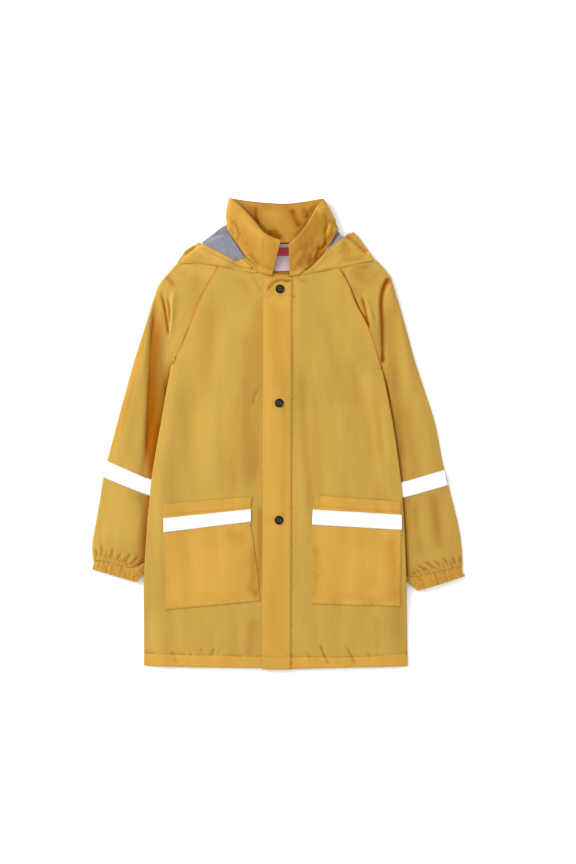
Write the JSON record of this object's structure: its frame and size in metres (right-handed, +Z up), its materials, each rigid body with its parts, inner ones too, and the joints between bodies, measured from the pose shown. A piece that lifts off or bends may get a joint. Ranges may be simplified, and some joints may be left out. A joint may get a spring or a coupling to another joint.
{
  "type": "kids raincoat",
  "caption": "Child's hooded raincoat laid flat, front up: stand collar, snapped placket, raglan sleeves with gathered cuffs, patch pockets and reflective tapes.",
  "frame": {"origin": "centre of the bounding box in plan, on the surface the coat lies on", "axes": "+X to the wearer's left, +Y from the hem towards the collar, +Z up from the surface"},
  "size_m": [0.5616, 0.706, 0.0156],
  "materials": {
    "coated_cloth": "thin coated nylon, soft satin sheen",
    "doubled_cloth": "the same coated cloth in two stitched layers",
    "knit_lining": "grey marl jersey",
    "reflective_tape": "white retroreflective tape",
    "label_cloth": "plain woven label, bare",
    "snap_metal": "dark gunmetal"
  },
  "bodies": {
    "root": {"back_panel": "coated_cloth", "front_right": "coated_cloth", "front_left": "coated_cloth", "placket": "doubled_cloth", "snap_1": "snap_metal", "snap_2": "snap_metal", "snap_3": "snap_metal", "pocket_right": "doubled_cloth", "pocket_left": "doubled_cloth", "pocket_tape_right": "reflective_tape", "pocket_tape_left": "reflective_tape", "sleeve_right": "coated_cloth", "sleeve_left": "coated_cloth", "cuff_right": "doubled_cloth", "cuff_left": "doubled_cloth", "sleeve_tape_right": "reflective_tape", "sleeve_tape_left": "reflective_tape", "hood_back": "coated_cloth", "hood_lining": "knit_lining", "hood_facing": "coated_cloth", "hood_right": "coated_cloth", "hood_left": "coated_cloth", "collar": "doubled_cloth", "neck_label": "label_cloth"}
  },
  "joints": []
}
